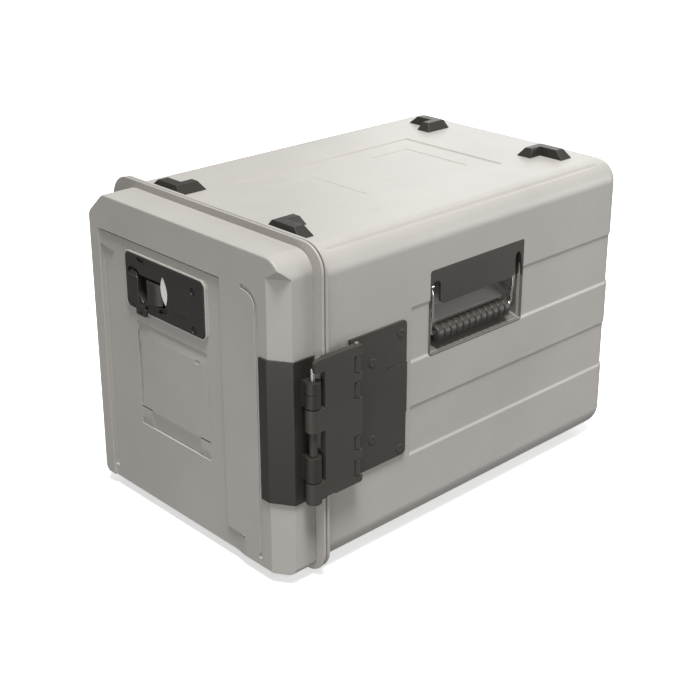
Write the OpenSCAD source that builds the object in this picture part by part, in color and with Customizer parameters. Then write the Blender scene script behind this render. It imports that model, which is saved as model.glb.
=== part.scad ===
// Insulated food carrier: front-loading cabinet for standard food pans.
// Millimetres, +Z up, door towards -Y, hinges on the +X side, resting plane at z = 0.

/* [Body] */
// Width of the body across its two side walls
body_w = 430; // [380:1:480]
// Y of the body's back face
body_back = 342; // [300:1:380]
// Height of the body's underside above the resting plane
body_z0 = 13; // [8:1:20]
// Height of the body's top face
body_z1 = 462; // [420:1:500]
// Radius along the long top and bottom edges
edge_r = 35; // [20:1:45]
// Radius of the upright back edges
back_r = 25; // [12:1:35]
// Depth of the recessed side bands
band_d = 2.5; // [1:0.5:4]
// Thickness of the moulded outer wall at its thinnest
shell_t = 4; // [3:0.5:6]

/* [Cabin] */
// Clear width of the cabin between its side walls
cabin_w = 336; // [332:1:345]
// Height of the cabin floor
cabin_z0 = 62; // [50:1:80]
// Height of the cabin ceiling
cabin_z1 = 412; // [380:1:430]
// Y of the cabin's back wall
cabin_back = 295; // [280:1:300]
// Thickness of the cabin liner
liner_t = 3; // [2:0.5:5]
// Number of pan runners on each side
runners = 9; // [6:1:11]
// Distance from one runner to the next
runner_pitch = 36; // [30:1:42]
// How far a runner stands out of its wall
runner_d = 11; // [8:1:13]

/* [Door] */
// Half of the door's width
door_hw = 209; // [200:1:212]
// Y of the door's front face
door_front = -338.5; // [-350:0.5:-330]
// Height of the door's bottom edge
door_z0 = 16; // [10:1:24]
// Height of the door's top edge
door_z1 = 464; // [440:1:470]
// Y of the door's rear face, on which the seal sits
door_rear = -280; // [-282:0.5:-279]
// Thickness of the door's rim
door_rim_t = 4; // [3:0.5:6]
// Width of the bevel on the hinge side, across the door's face
bevel_x = 28; // [16:1:30]
// Depth of the bevel on the hinge side, along the door's side
bevel_y = 18; // [14:1:24]
// Depth of the sunk panel on the door's face
panel_d = 3.5; // [2:0.5:5]
// Y of the rear of the door's plug inside the cabin
plug_rear = -258; // [-262:0.5:-256]

/* [Hinge] */
// X of the front hinge axis
pin1_x = 224; // [222:0.5:226]
// Y of the front hinge axis
pin1_y = -301; // [-305:0.5:-298]
// X of the rear hinge axis
pin2_x = 230; // [228:0.5:232]
// Y of the rear hinge axis
pin2_y = -231; // [-236:0.5:-226]
// Radius of the front knuckles
knuckle1_r = 10.8; // [9:0.1:11]
// Radius of the rear knuckles
knuckle2_r = 5.2; // [4.5:0.1:5.4]
// Radius of the front hinge pin
pin1_r = 3.5; // [3:0.1:4.5]
// Radius of the rear hinge pin
pin2_r = 2.5; // [2:0.1:3]
// Radial clearance of each turning pin
run_gap = 0.06; // [0.03:0.01:0.09]

/* [Latch] */
// X of the latch plate's centre
latch_x = -33.5; // [-60:0.5:0]
// Z of the latch plate's centre
latch_z = 354; // [330:0.5:370]
// Width of the latch plate
latch_w = 177; // [150:1:190]
// Height of the latch plate
latch_h = 80; // [70:1:90]
// X of the centre of the bowl behind the grip
bowl_x = -60; // [-64:0.5:-56]
// Radius of the bowl
bowl_r = 30; // [27:0.5:30]
// X of the grip lever's upright axis
lever_x = -70; // [-78:0.5:-62]
// Y of the grip lever's upright axis
lever_y = -331; // [-333:0.5:-329]
// Travel of the bolt between locked and free
bolt_travel = 20; // [16:1:22]

/* [Handles] */
// Z of the bail's hinge axis
bail_z = 360; // [355:1:364]
// X of the bail's hinge axis on the right-hand side
bail_x = 206.5; // [204:0.5:208]
// Distance from the bail's hinge axis to its grip
bail_len = 71; // [64:1:76]
// Radius of the bail's wire
wire_r = 2.8; // [2.2:0.1:3.5]
// Outer radius of the ribbed grip
grip_r = 11.5; // [9:0.5:12]
// Number of ribs on the grip
grip_ribs = 12; // [8:1:14]

/* [Stacking] */
// Height of the stacking corners above the top face
corner_h = 13; // [8:0.5:13]

/* [Hidden] */
$fn = 48;
hw = body_w / 2;
chw = cabin_w / 2;
lo = chw + liner_t;
rim_hw = 224;
rim_z0 = 5.5;
rim_z1 = 473.5;
rim_y0 = -278;
rim_y1 = -272;
front_y = door_front;
seal_gap = 0.3;
pocket_y0 = -78;
pocket_y1 = 117;
pocket_z0 = 262;
pocket_z1 = 387;
pocket_x = 180;
bail_y0 = -71;
bail_y1 = 99;
bolt_z = latch_z;
link_z0 = 133;
link_z1 = 332;
link_x0 = 225.6;
link_x1 = 235;
leaf_x0 = 215.1;
leaf_x1 = 218.8;
wins = [[143, 168], [182, 203], [257, 281], [293, 317]];
door_knuckles = [[159, 195], [264, 301]];
link_knuckles = [[127, 158], [196, 199], [231, 263]];
screws = [[-191, 176], [-191, 289], [-138, 144], [-138, 316]];

grey = [0.62, 0.60, 0.57];
black = [0.16, 0.155, 0.15];
steel = [0.72, 0.72, 0.73];

// ---- helpers ----

// Box given by two corners
module bx(x0, x1, y0, y1, z0, z1) {
    translate([x0, y0, z0]) cube([x1 - x0, y1 - y0, z1 - z0]);
}

// Prism along Y whose four long edges are rounded
module prism_y(x0, x1, y0, y1, z0, z1, r) {
    bx(x0 + r, x1 - r, y0, y1, z0, z1);
    bx(x0, x1, y0, y1, z0 + r, z1 - r);
    for (x = [x0 + r, x1 - r])
        for (z = [z0 + r, z1 - r])
            translate([x, y0, z]) rotate([-90, 0, 0]) cylinder(h = y1 - y0, r = r);
}

// Prism along Z with rounded edges at its back only
module prism_z(x0, x1, y0, y1, z0, z1, r) {
    bx(x0 + r, x1 - r, y0, y1, z0, z1);
    bx(x0, x1, y0, y1 - r, z0, z1);
    for (x = [x0 + r, x1 - r])
        translate([x, y1 - r, z0]) cylinder(h = z1 - z0, r = r);
}

// Prism along X with rounded edges at its back only
module prism_x(x0, x1, y0, y1, z0, z1, r) {
    bx(x0, x1, y0, y1, z0 + r, z1 - r);
    bx(x0, x1, y0, y1 - r, z0, z1);
    for (z = [z0 + r, z1 - r])
        translate([x0, y1 - r, z]) rotate([0, 90, 0]) cylinder(h = x1 - x0, r = r);
}

// Slab across X whose outline in Y and Z has rounded corners
module slab_x(x0, x1, y0, y1, z0, z1, r) {
    bx(x0, x1, y0 + r, y1 - r, z0, z1);
    bx(x0, x1, y0, y1, z0 + r, z1 - r);
    for (y = [y0 + r, y1 - r])
        for (z = [z0 + r, z1 - r])
            translate([x0, y, z]) rotate([0, 90, 0]) cylinder(h = x1 - x0, r = r);
}

// Upright rod
module rod_z(x, y, z0, z1, r) {
    translate([x, y, z0]) cylinder(h = z1 - z0, r = r);
}

// Rod along Y
module rod_y(x, y0, y1, z, r) {
    translate([x, y0, z]) rotate([-90, 0, 0]) cylinder(h = y1 - y0, r = r);
}

// Mirror a right-hand piece to the left
module on_left() {
    mirror([1, 0, 0]) children();
}

// ---- body ----

module body_form() {
    intersection() {
        prism_y(-hw, hw, rim_y1, body_back, body_z0, body_z1, edge_r);
        prism_z(-hw, hw, rim_y1, body_back, body_z0 - 1, body_z1 + 1, back_r);
        prism_x(-hw - 1, hw + 1, rim_y1, body_back, body_z0, body_z1, 22);
    }
}

// Inside of the outer wall, shrunk by g
module hollow_form(g) {
    m = 2.5 + shell_t + g;
    intersection() {
        prism_y(-hw + m, hw - m, rim_y1 + g, body_back - m, body_z0 + m, body_z1 - m, edge_r - m);
        prism_z(-hw + m, hw - m, rim_y1 + g, body_back - m, body_z0, body_z1, back_r - m + 2);
    }
}

// Shallow channel in the rounded edge at the top of the right-hand side
module edge_channel() {
    a = 58;
    x = hw - edge_r + (edge_r + 6.6) * cos(a);
    z = body_z1 - edge_r + (edge_r + 6.6) * sin(a);
    rod_y(x, rim_y1 + 14, body_back - 40, z, 8);
}

module band_cut(z0, z1) {
    difference() {
        bx(-hw - 2, hw + 2, rim_y1 + 6, body_back + 2, z0, z1);
        prism_z(-hw + band_d, hw - band_d, rim_y1, body_back - band_d, z0 - 1, z1 + 1, back_r - band_d);
    }
}

module cup_form(grow) {
    bx(pocket_x - 3 - grow, hw + 2, pocket_y0 + 0.6 - grow, pocket_y1 - 4 + grow,
        pocket_z0 + 4 - grow, pocket_z1 - 4 + grow);
}

module bezel_form(grow) {
    slab_x(hw - 3 - grow, hw + 2, pocket_y0 - grow, pocket_y1 + grow,
        pocket_z0 - grow, pocket_z1 + grow, 4);
}

module outer_shell() {
    color(grey) difference() {
        union() {
            difference() {
                body_form();
                band_cut(124, 195.5);
                band_cut(265, 343);
            }
            // front rim
            prism_y(-rim_hw, rim_hw, rim_y0, rim_y1, rim_z0, rim_z1, 36);
            // flat pads under the hinge leaf and round the handle recesses
            bx(hw - 4, hw, -250, -114, 124, 346);
            // moulded feet
            for (x = [-166, 130])
                for (y = [-244, 206])
                    bx(x, x + 36, y, y + 40, 0, body_z0 + 1);
            // centre skid
            bx(-20, 20, -200, 300, 0, body_z0 + 1);
        }
        // hollow for the insulation
        hollow_form(0);
        // mouth of the cabin
        bx(-lo - 0.2, lo + 0.2, rim_y0 - 1, 0, cabin_z0 - liner_t - 0.2, cabin_z1 + liner_t + 0.2);
        // pocket for the bolt keeper
        bx(-lo - 13.3, -lo + 0.1, -275.3, rim_y1 + 2, bolt_z - 14.3, bolt_z + 14.3);
        // shallow channels along the top edges
        edge_channel();
        on_left() edge_channel();
        // handle recesses
        cup_form(0.3);
        bezel_form(0.3);
        on_left() cup_form(0.3);
        on_left() bezel_form(0.3);
        // sunk label fields on the top
        bx(-94, 106, -174, 190, body_z1 - 1.2, body_z1 + 1);
        bx(-44, 73, -140, -60, body_z1 - 1.9, body_z1 + 1);
        bx(-55, 73, 70, 150, body_z1 - 1.9, body_z1 + 1);
        // seats for the hinge screws
        for (s = screws)
            translate([hw - 7, s[0], s[1]]) rotate([0, 90, 0]) cylinder(h = 12, r = 2.7);
    }
}

module insulation_core() {
    color([0.93, 0.90, 0.78]) difference() {
        hollow_form(0.3);
        bx(-lo - 0.2, lo + 0.2, rim_y1 - 1, cabin_back + liner_t + 0.2,
            cabin_z0 - liner_t - 0.2, cabin_z1 + liner_t + 0.2);
        cup_form(0.6);
        on_left() cup_form(0.6);
        bx(-lo - 14, -lo, rim_y1 - 1, -254, bolt_z - 16, bolt_z + 16);
        for (s = screws)
            translate([hw - 24, s[0], s[1]]) rotate([0, 90, 0]) cylinder(h = 30, r = 3.2);
    }
}

module inner_liner() {
    color([0.50, 0.49, 0.47]) difference() {
        bx(-lo, lo, rim_y0, cabin_back + liner_t, cabin_z0 - liner_t, cabin_z1 + liner_t);
        bx(-chw, chw, rim_y0 - 1, cabin_back, cabin_z0, cabin_z1);
        // window for the bolt
        bx(-lo - 1, -chw + 1, -273.5, -260.5, bolt_z - 10.5, bolt_z + 10.5);
    }
}

module runner_rail() {
    z_first = cabin_z0 + 26;
    difference() {
        union() {
            bx(-chw + 0.1, -chw + 2.6, -236, 284, cabin_z0 + 6, cabin_z1 - 8);
            for (i = [0 : runners - 1])
                bx(-chw + 2, -chw + runner_d, -232, 280, z_first + i * runner_pitch,
                    z_first + i * runner_pitch + 5);
        }
        // stop notches that hold a pan's rim
        for (i = [0 : runners - 1])
            bx(-chw + 4, -chw + runner_d + 1, 262, 274, z_first + i * runner_pitch + 3,
                z_first + i * runner_pitch + 6);
    }
}

module runner_left() {
    color([0.50, 0.49, 0.47]) runner_rail();
}

module runner_right() {
    color([0.50, 0.49, 0.47]) mirror([1, 0, 0]) runner_rail();
}

module recess_cup() {
    difference() {
        union() {
            cup_form(0);
            bezel_form(0);
        }
        // trim what reaches past the side face
        bx(hw + 0.6, hw + 3, pocket_y0 - 5, pocket_y1 + 5, pocket_z0 - 5, pocket_z1 + 5);
        // deep hollow
        bx(pocket_x, hw - 4, pocket_y0 + 2.8, pocket_y1 - 7, pocket_z0 + 7, 352);
        // shallow hollow behind the face plate
        bx(197, hw - 4, pocket_y0 + 2.8, pocket_y1 - 7, 351, 372);
        // opening below the face plate
        bx(hw - 5, hw + 2, pocket_y0 + 3, pocket_y1 - 3, pocket_z0 + 3, 332);
        // side slots for the bail arms
        bx(hw - 5, hw + 2, pocket_y0 + 3, -58, 331, 367);
        bx(hw - 5, hw + 2, 86, pocket_y1 - 13, 331, 367);
        bx(hw - 5, hw + 2, 86, pocket_y1 - 3, 331, 346);
        // seats of the bail studs
        rod_y(bail_x, pocket_y0 + 1.1, pocket_y0 + 4, bail_z, 1.52);
        rod_y(bail_x, pocket_y1 - 8, pocket_y1 - 4.3, bail_z, 1.52);
    }
    // sloped back of the finger hollow
    translate([0, pocket_y0 + 3.3, 0])
        rotate([90, 0, 180])
            mirror([1, 0, 0])
                linear_extrude(height = pocket_y1 - pocket_y0 - 10.8)
                    polygon([[pocket_x, 352], [pocket_x + 17, 352], [pocket_x, 322]]);
}

module recess_cup_right() {
    color(black) recess_cup();
}

module recess_cup_left() {
    color(black) on_left() recess_cup();
}

module bail_pivots() {
    rod_y(bail_x, pocket_y0 + 1.2, bail_y0 + 4, bail_z, 1.5);
    rod_y(bail_x, bail_y1 - 4.5, pocket_y1 - 4.4, bail_z, 1.5);
}

module bail_pivots_right() {
    color(steel) bail_pivots();
}

module bail_pivots_left() {
    color(steel) on_left() bail_pivots();
}

module arm_block(x0, x1, y0, y1, a0, a1, b0, b1) {
    hull() {
        bx(x0, x1, y0, y1, body_z1 + 0.05, body_z1 + 1);
        bx(x0 + a0, x1 - a1, y0 + b0, y1 - b1, body_z1 + corner_h - 0.5, body_z1 + corner_h);
    }
}

// Stacking corner at the +X, +Y side: one arm along X, one along Y
module corner_block() {
    arm_block(90, 164, 264, 289, 13, 17, 5, 3);
    arm_block(90, 118, 236, 289, 13, 4, 10, 3);
}

module corner_back_right() {
    color(black) corner_block();
}

module corner_back_left() {
    color(black) mirror([1, 0, 0]) corner_block();
}

module corner_front_right() {
    color(black) translate([0, 26, 0]) mirror([0, 1, 0]) corner_block();
}

module corner_front_left() {
    color(black) translate([0, 26, 0]) mirror([0, 1, 0]) mirror([1, 0, 0]) corner_block();
}

module bolt_keeper() {
    color(steel) difference() {
        bx(-lo - 13, -chw - 0.2, -275, -257, bolt_z - 14, bolt_z + 14);
        bx(-lo - 11, -chw + 1, -273, -261, bolt_z - 10, bolt_z + 10);
        // step that clears the liner wall
        difference() {
            bx(-lo - 0.2, -chw + 1, -280, -250, bolt_z - 20, bolt_z + 20);
            bx(-lo - 1, -chw + 2, -273.3, -260.7, bolt_z - 10.3, bolt_z + 10.3);
        }
    }
}

// ---- hinge ----

module hinge_body_leaf() {
    color(black) difference() {
        union() {
            slab_x(leaf_x0, leaf_x1, pin2_y, -125, 133, 333, 5);
            bx(leaf_x0, leaf_x1, pin2_y, -215, 133, 333);
            // raised field on the leaf
            bx(leaf_x1 - 0.5, leaf_x1 + 0.7, -172, -128, 190, 262);
            for (w = wins) {
                rod_z(pin2_x, pin2_y, w[0] + 1, w[1] - 1, knuckle2_r);
                bx(leaf_x1 - 1, pin2_x, pin2_y, pin2_y + knuckle2_r, w[0] + 1, w[1] - 1);
            }
        }
        rod_z(pin2_x, pin2_y, 100, 360, pin2_r + run_gap);
        for (s = screws)
            translate([leaf_x0 - 1, s[0], s[1]]) rotate([0, 90, 0]) cylinder(h = 12, r = 2.7);
    }
}

module hinge_screws() {
    color([0.2, 0.2, 0.2])
        for (s = screws) {
            translate([leaf_x1 + 0.05, s[0], s[1]]) rotate([0, 90, 0]) cylinder(h = 1.8, r = 6.5);
            translate([hw - 14, s[0], s[1]]) rotate([0, 90, 0]) cylinder(h = 18.5, r = 2.5);
        }
}

module hinge_link() {
    color(black) difference() {
        union() {
            slab_x(link_x0, link_x1, pin1_y + 11.8, pin2_y + 7.5, link_z0, link_z1, 4);
            for (k = [0, 2]) {
                rod_z(pin1_x, pin1_y, link_knuckles[k][0], link_knuckles[k][1], knuckle1_r);
                bx(link_x0, link_x1 - 0.2, pin1_y, pin1_y + 18, max(link_z0, link_knuckles[k][0]),
                    link_knuckles[k][1]);
            }
            // upper lug that covers the top of the front pin
            rod_z(pin1_x, pin1_y, 313, 330, knuckle1_r - 0.8);
            bx(link_x0, link_x1 - 1, pin1_y, pin1_y + 18, 313, 330);
        }
        // slots for the rear knuckles of the body leaf
        for (w = wins)
            bx(link_x0 - 1, link_x1 + 1, pin2_y - 7, pin2_y + 9, w[0], w[1]);
        rod_z(pin1_x, pin1_y, 120, 318, pin1_r + 0.01);
        rod_z(pin2_x, pin2_y, link_z0 - 1, link_z1 + 1, pin2_r + 0.01);
    }
}

module hinge_pin_front() {
    color(steel) rod_z(pin1_x, pin1_y, 125, 317.8, pin1_r);
}

module hinge_pin_rear() {
    color(steel) rod_z(pin2_x, pin2_y, link_z0 - 1.5, link_z1 + 3, pin2_r);
}

// ---- door ----

module door_outline(y0, y1, inset) {
    x0 = -door_hw + inset;
    x1 = door_hw - inset;
    z0 = door_z0 + inset;
    z1 = door_z1 - inset;
    rt = 30;
    rb = 10;
    bx(x0 + rt, x1 - rt, y0, y1, z0, z1);
    bx(x0, x1, y0, y1, z0 + rb, z1 - rt);
    bx(x0 + rb, x1 - rb, y0, y1, z0, z1 - rt);
    for (x = [x0 + rt, x1 - rt])
        translate([x, y0, z1 - rt]) rotate([-90, 0, 0]) cylinder(h = y1 - y0, r = rt);
    for (x = [x0 + rb, x1 - rb])
        translate([x, y0, z0 + rb]) rotate([-90, 0, 0]) cylinder(h = y1 - y0, r = rb);
}

// Wedge that bevels the upright edge on the hinge side, through the foot and short of the top
module bevel_cut() {
    x = door_hw + 0.01;
    y = front_y - 0.01;
    za = door_z0 - 2;
    zb = door_z1 - 28;
    hull() {
        translate([0, 0, za]) linear_extrude(height = zb - za)
            polygon([[x - bevel_x, y], [x, y + bevel_y], [x + 6, y + bevel_y], [x + 6, y - 6],
                [x - bevel_x, y - 6]]);
        translate([0, 0, za]) linear_extrude(height = zb - za + 18)
            polygon([[x, y], [x + 6, y + 1], [x + 6, y - 6], [x, y - 6]]);
    }
}

module door_shell() {
    color(grey) difference() {
        union() {
            door_outline(front_y, door_rear - door_rim_t + 0.5, 0);
            prism_y(-rim_hw - 1, rim_hw + 1, door_rear - door_rim_t, door_rear, rim_z0 - 0.5, rim_z1 + 0.5, 36);
        }
        bevel_cut();
        // hollow for insulation and lock work
        difference() {
            bx(-door_hw + 5, door_hw - 5, front_y + 8, door_rear + 1, door_z0 + 5, door_z1 - 5);
            // keeps the wall behind the bevel and the round corners
            linear_extrude(height = 500)
                polygon([[door_hw - bevel_x - 9, front_y], [door_hw, front_y + bevel_y + 8], [door_hw, front_y]]);
            bx(-door_hw, -door_hw + 18, front_y, door_rear + 2, door_z1 - 18, door_z1);
            bx(door_hw - 18, door_hw, front_y, door_rear + 2, door_z1 - 18, door_z1);
        }
        // sunk panel, open towards the bottom
        bx(-192, 90, front_y - 1, front_y + panel_d, 54, 414);
        bx(-192, 90, front_y - 1, front_y + panel_d * 0.5, 36, 414);
        // notch groove on the latch side
        bx(-186, -177, front_y - 1, front_y + panel_d + 3, 34, 376);
        translate([0, front_y + panel_d + 3, 0]) rotate([90, 0, 0]) linear_extrude(height = 12)
            polygon([[-186, 380], [-163, 378], [-177, 352], [-186, 352]]);
        // upright groove beside the hinge
        bx(158, 162.5, front_y - 1, front_y + 2, 30, 388);
        translate([138, front_y - 1, 388]) rotate([-90, 0, 0]) difference() {
            cylinder(h = 3, r = 24.5);
            translate([0, 0, -1]) cylinder(h = 5, r = 20);
            translate([-30, -30, -1]) cube([30, 60, 5]);
            translate([-1, 0, -1]) cube([30, 30, 5]);
        }
        // seat of the latch plate and passage to the lock work
        bx(latch_x - latch_w / 2 - 0.4, latch_x + latch_w / 2 + 0.4, front_y, front_y + 5.5,
            latch_z - latch_h / 2 - 0.4, latch_z + latch_h / 2 + 0.4);
        bx(latch_x - latch_w / 2 + 6, latch_x + latch_w / 2 - 6, front_y + 5, front_y + 9,
            latch_z - latch_h / 2 + 2.6, latch_z + latch_h / 2 - 2.6);
        // sunk field of the label holder
        bx(-107.4, 51.4, front_y, front_y + 6.2, 132, 292);
    }
}

module door_core() {
    color([0.93, 0.90, 0.78]) difference() {
        bx(-door_hw + 18.4, 172, front_y + 8.2, door_rear - 4.2, door_z0 + 18.4, door_z1 - 18.4);
        // room for the lock work
        bx(-189, 60, front_y + 8, door_rear, latch_z - 38, latch_z + 38);
    }
}

module door_liner() {
    color(grey) difference() {
        union() {
            bx(-door_hw + 5.2, door_hw - 5.2, door_rear - 4, door_rear + 0.02, door_z0 + 18.2, door_z1 - 18.2);
            bx(-156, 156, door_rear - 0.02, plug_rear, 67, 407);
        }
        // hollow of the plug
        bx(-152, 152, door_rear - 5, plug_rear - 4, 71, 403);
        // way out for the bolt
        bx(-158, -150, -273.4, -262.6, bolt_z - 9.4, bolt_z + 9.4);
    }
}

module door_seal() {
    color([0.08, 0.08, 0.08]) difference() {
        bx(-188, 188, door_rear + 0.05, rim_y0 - seal_gap, 42, 432);
        bx(-176, 176, door_rear - 1, rim_y0 + 1, 54, 420);
    }
}

module hinge_door_leaf() {
    t = 3;
    z0 = 124;
    z1 = 327;
    bend = atan(bevel_y / bevel_x);
    k1 = t * tan(bend / 2);
    k2 = t * tan(45 - bend / 2);
    xb = door_hw - bevel_x;
    color(black) difference() {
        union() {
            // plate on the front face
            bx(166, xb + k1, front_y - t, front_y - 0.05, z0, z1);
            // plate over the bevel and the side
            translate([0, 0, z0]) linear_extrude(height = z1 - z0)
                polygon([[xb, front_y - t], [xb + k1, front_y - t],
                    [door_hw + t, front_y + bevel_y - k2], [door_hw + t, pin1_y + 4],
                    [door_hw + 0.1, pin1_y + 4], [door_hw + 0.1, front_y + bevel_y - 0.05],
                    [xb + 0.05, front_y - 0.1], [xb, front_y - 0.05]]);
            for (k = door_knuckles) {
                rod_z(pin1_x, pin1_y, k[0] + 0.5, k[1] - 0.5, knuckle1_r);
                bx(door_hw + 1, pin1_x, pin1_y - 8, pin1_y + 3, k[0] + 0.5, k[1] - 0.5);
            }
        }
        rod_z(pin1_x, pin1_y, 100, 360, pin1_r + run_gap);
    }
}

// ---- latch ----

module latch_plate() {
    x0 = latch_x - latch_w / 2;
    x1 = latch_x + latch_w / 2;
    z0 = latch_z - latch_h / 2;
    z1 = latch_z + latch_h / 2;
    color(black) difference() {
        union() {
            prism_y(x0, x1, front_y - 0.5, front_y + 5, z0, z1, 8);
            // raised field on the right
            bx(-16, 22, front_y - 1.7, front_y, z0 + 12, z1 - 29);
            // lock field on the left
            bx(x0 + 6, x0 + 30, front_y - 2.2, front_y, z0 + 10, z1 - 18);
            // bowl behind the grip
            translate([bowl_x, front_y + 4, latch_z]) rotate([-90, 0, 0]) cylinder(h = 22, r = bowl_r + 3);
            // seal eye below the plate
            bx(-100, -76, front_y - 2.5, front_y + 2, z0 - 8, z0 + 4);
            // lever bearings
            bx(lever_x - 6, lever_x + 6, front_y - 2, front_y + 16, z0 + 3, z0 + 12);
            bx(lever_x - 6, lever_x + 6, front_y - 2, front_y + 16, z1 - 12, z1 - 3);
        }
        // inside of the bowl
        translate([bowl_x, front_y - 2, latch_z]) rotate([-90, 0, 0]) cylinder(h = 25.5, r = bowl_r);
        // passage for the lever's rear arm
        bx(lever_x - 7, lever_x + 30, front_y + 20, front_y + 30, latch_z - 8, latch_z + 8);
        // bore for the lever pin
        rod_z(lever_x, lever_y, z0, z1, 2.01);
        // seal eye
        translate([-88, front_y - 6, z0 - 3]) rotate([-90, 0, 0]) cylinder(h = 12, r = 2);
        // screw recesses
        for (p = [[31, z1 - 18], [31, z0 + 7]])
            translate([p[0], front_y - 3, p[1]]) rotate([-90, 0, 0]) cylinder(h = 5, r = 4.5);
        for (p = [[31, z1 - 18], [31, z0 + 7]])
            translate([p[0], front_y - 3, p[1]]) rotate([-90, 0, 0]) cylinder(h = 12, r = 2.2);
        // small slot by the top edge and hook-shaped gap beside the lock field
        bx(-98, -84, front_y - 3, front_y + 2, z1 - 8, z1 - 3);
        bx(-112, -96, front_y - 3, front_y + 1.5, z1 - 24, z1 - 18.2);
    }
}

module latch_screws() {
    z0 = latch_z - latch_h / 2;
    z1 = latch_z + latch_h / 2;
    color(steel)
        for (p = [[31, z1 - 18], [31, z0 + 7]]) {
            translate([p[0], front_y + 0.4, p[1]]) rotate([-90, 0, 0]) cylinder(h = 1.5, r = 4);
            translate([p[0], front_y + 0.4, p[1]]) rotate([-90, 0, 0]) cylinder(h = 6, r = 1.9);
        }
}

module latch_pin() {
    color(steel) rod_z(lever_x, lever_y, latch_z - latch_h / 2 + 5, latch_z + latch_h / 2 - 5, 2);
}

module latch_lever() {
    zl = latch_z - 21;
    zh = latch_z + 21;
    color(black) difference() {
        union() {
            // convex grip
            intersection() {
                bx(lever_x - 5, lever_x + 30, front_y - 6, front_y + 8, zl, zh);
                rod_z(lever_x + 11, front_y + 16, zl, zh, 21.5);
            }
            rod_z(lever_x, lever_y, zl, zh, 5);
            // rear arm that draws the bolt
            bx(lever_x - 2, lever_x + 2, lever_y, lever_y + 35, latch_z - 6, latch_z + 6);
            rod_z(lever_x, lever_y + 35, latch_z - 6, latch_z + 6, 4);
        }
        rod_z(lever_x, lever_y, zl - 1, zh + 1, 2 + run_gap);
        // finger scoop behind the free edge
        bx(lever_x + 8, lever_x + 31, front_y + 3, front_y + 9, zl - 1, zh + 1);
    }
}

module latch_bolt() {
    color(steel) {
        bx(-178, lever_x + 16, -272, -264, bolt_z - 8, bolt_z + 8);
        // fork round the lever's arm
        bx(lever_x - 9.5, lever_x - 5.2, lever_y + 27, -263.9, bolt_z - 6, bolt_z + 6);
        bx(lever_x + 5.2, lever_x + 9.5, lever_y + 27, -263.9, bolt_z - 6, bolt_z + 6);
    }
}

module label_holder() {
    color(grey) translate([-3, 0, -4]) {
        difference() {
            bx(-104, 54, front_y + 0.2, front_y + 6, 136.4, 295.6);
            bx(-98, 48, front_y - 1, front_y + 4.8, 150, 278);
            bx(-90, 40, front_y - 1, front_y + 3.6, 277, 290);
            bx(-86, 36, front_y - 1, front_y + 3.6, 141, 151);
        }
        // clips that hold the card
        bx(-104, -88, front_y + 0.2, front_y + 2.4, 150, 166);
        bx(38, 54, front_y + 0.2, front_y + 2.4, 150, 166);
        bx(-104, -96, front_y + 0.2, front_y + 2.4, 190, 262);
    }
}

// ---- bail handles ----

module bail_wire() {
    gz = bail_z - bail_len;
    difference() {
        union() {
            for (y = [bail_y0, bail_y1])
                rod_z(bail_x, y, gz, bail_z, wire_r);
            for (y = [bail_y0, bail_y1])
                rod_y(bail_x, y - 3.4, y + 3.4, bail_z, 3.6);
            for (y = [bail_y0, bail_y1])
                translate([bail_x, y, gz]) sphere(r = wire_r);
            rod_y(bail_x, bail_y0, bail_y1, gz, wire_r);
        }
        rod_y(bail_x, bail_y0 - 5, bail_y1 + 5, bail_z, 1.5 + run_gap);
    }
}

module bail_grip() {
    gz = bail_z - bail_len;
    y0 = -62;
    y1 = 90;
    pitch = (y1 - y0) / grip_ribs;
    difference() {
        union() {
            rod_y(bail_x, y0, y1, gz, grip_r - 1.8);
            for (i = [0 : grip_ribs - 1])
                rod_y(bail_x, y0 + i * pitch + 0.8, y0 + (i + 1) * pitch - 1.8, gz, grip_r);
        }
        rod_y(bail_x, y0 - 1, y1 + 1, gz, wire_r + 0.01);
    }
}

module bail_wire_right() {
    color(steel) bail_wire();
}

module bail_grip_right() {
    color(black) bail_grip();
}

module bail_wire_left() {
    color(steel) on_left() bail_wire();
}

module bail_grip_left() {
    color(black) on_left() bail_grip();
}

outer_shell();
insulation_core();
inner_liner();
runner_left();
runner_right();
recess_cup_right();
recess_cup_left();
bail_pivots_right();
bail_pivots_left();
corner_front_left();
corner_front_right();
corner_back_left();
corner_back_right();
bolt_keeper();
hinge_body_leaf();
hinge_screws();
hinge_link();
hinge_pin_front();
hinge_pin_rear();
door_shell();
door_core();
door_liner();
door_seal();
hinge_door_leaf();
latch_plate();
latch_screws();
latch_pin();
label_holder();
latch_lever();
latch_bolt();
bail_wire_right();
bail_grip_right();
bail_wire_left();
bail_grip_left();
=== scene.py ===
import math

import bmesh
import bpy
from mathutils import Matrix, Vector


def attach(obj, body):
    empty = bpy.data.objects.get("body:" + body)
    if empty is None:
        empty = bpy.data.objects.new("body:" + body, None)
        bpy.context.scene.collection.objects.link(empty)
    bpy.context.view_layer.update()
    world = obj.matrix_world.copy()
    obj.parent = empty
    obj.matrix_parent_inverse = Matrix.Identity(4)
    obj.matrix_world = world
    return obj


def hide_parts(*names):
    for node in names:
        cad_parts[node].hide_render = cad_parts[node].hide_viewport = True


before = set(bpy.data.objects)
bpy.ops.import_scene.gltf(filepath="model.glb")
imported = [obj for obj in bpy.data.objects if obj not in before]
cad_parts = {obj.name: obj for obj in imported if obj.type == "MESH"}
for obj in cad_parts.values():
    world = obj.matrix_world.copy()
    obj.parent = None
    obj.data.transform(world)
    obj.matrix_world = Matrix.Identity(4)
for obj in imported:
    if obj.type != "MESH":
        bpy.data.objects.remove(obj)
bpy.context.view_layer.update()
MM = 0.001                 # shapes below are written in millimetres
SAME_PLANE = 0.99998       # cosine above which two neighbouring faces count as one plane
AREA_WEIGHT = 1.6          # how strongly wide faces win when normals are averaged

# ---------------------------------------------------------------- mesh tools


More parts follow.
